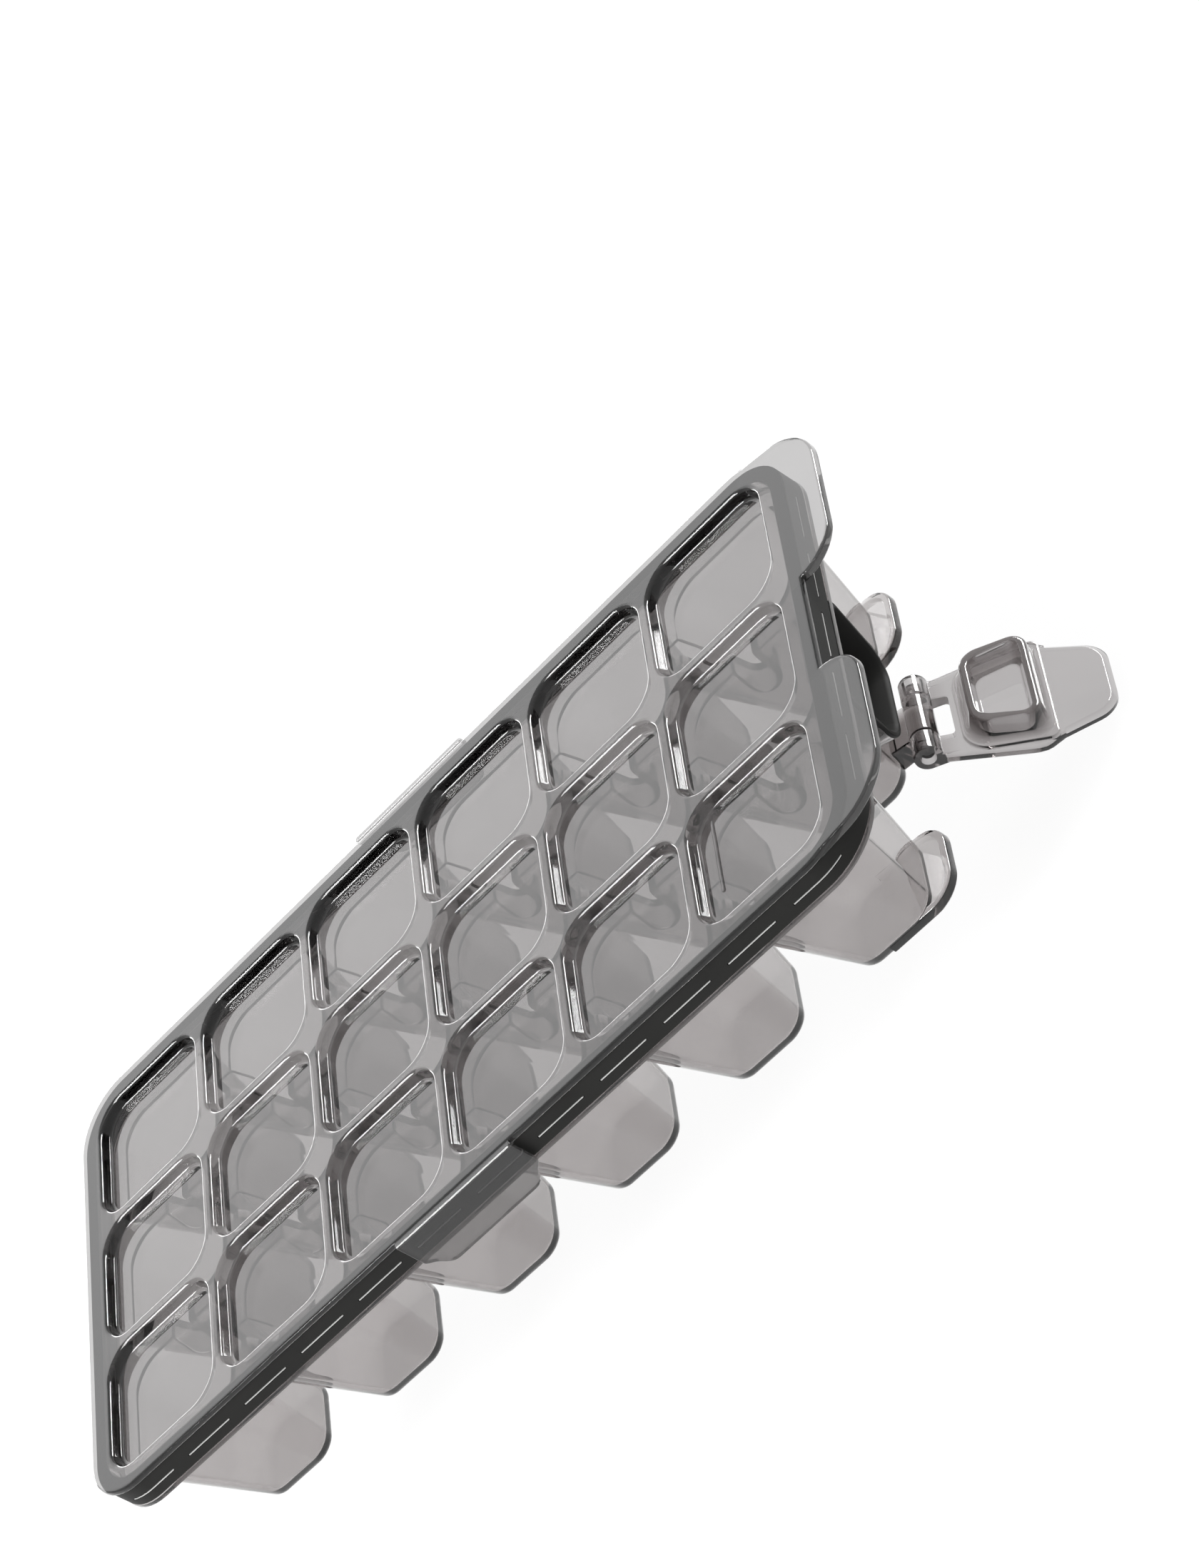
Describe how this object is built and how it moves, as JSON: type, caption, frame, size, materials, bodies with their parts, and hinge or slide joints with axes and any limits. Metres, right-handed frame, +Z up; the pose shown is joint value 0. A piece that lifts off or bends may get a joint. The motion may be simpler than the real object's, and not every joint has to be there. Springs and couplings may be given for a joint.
{
  "type": "lidded ice cube tray",
  "caption": "Clear lidded ice cube tray: joined tapered cups, a lift-off lid with a window over each cup, dark silicone seals and a hinged fill flap at one end.",
  "frame": {"origin": "middle of the flat bottom of the middle-row cup just past the tray's centre, on the fill flap's side", "axes": "+X along the tray towards the fill flap, +Y across it, +Z up out of the lid"},
  "size_m": [0.2654, 0.1266, 0.0603],
  "materials": {
    "smoke_tray": "clear smoke-grey moulding",
    "smoke_lid": "clear smoke-grey moulding",
    "smoke_flap": "clear smoke-grey moulding",
    "silicone": "matte charcoal silicone"
  },
  "bodies": {
    "tray_body": {"tray_near": "smoke_tray", "tray_middle": "smoke_tray", "tray_far": "smoke_tray", "rim_seal": "silicone", "spout_seal": "silicone"},
    "lid_body": {"lid": "smoke_lid"},
    "flap_body": {"flap": "smoke_flap"}
  },
  "joints": [
    {"name": "lid_lift", "type": "slide", "parent": "tray_body", "child": "lid_body", "axis": [0, 0, 1], "range_m": [0, 0.06]},
    {"name": "flap_hinge", "type": "hinge", "parent": "tray_body", "child": "flap_body", "pos_m": [0.0946, 0, 0.0032], "axis": [0, -1, 0], "range_deg": [0, 112.8]}
  ]
}
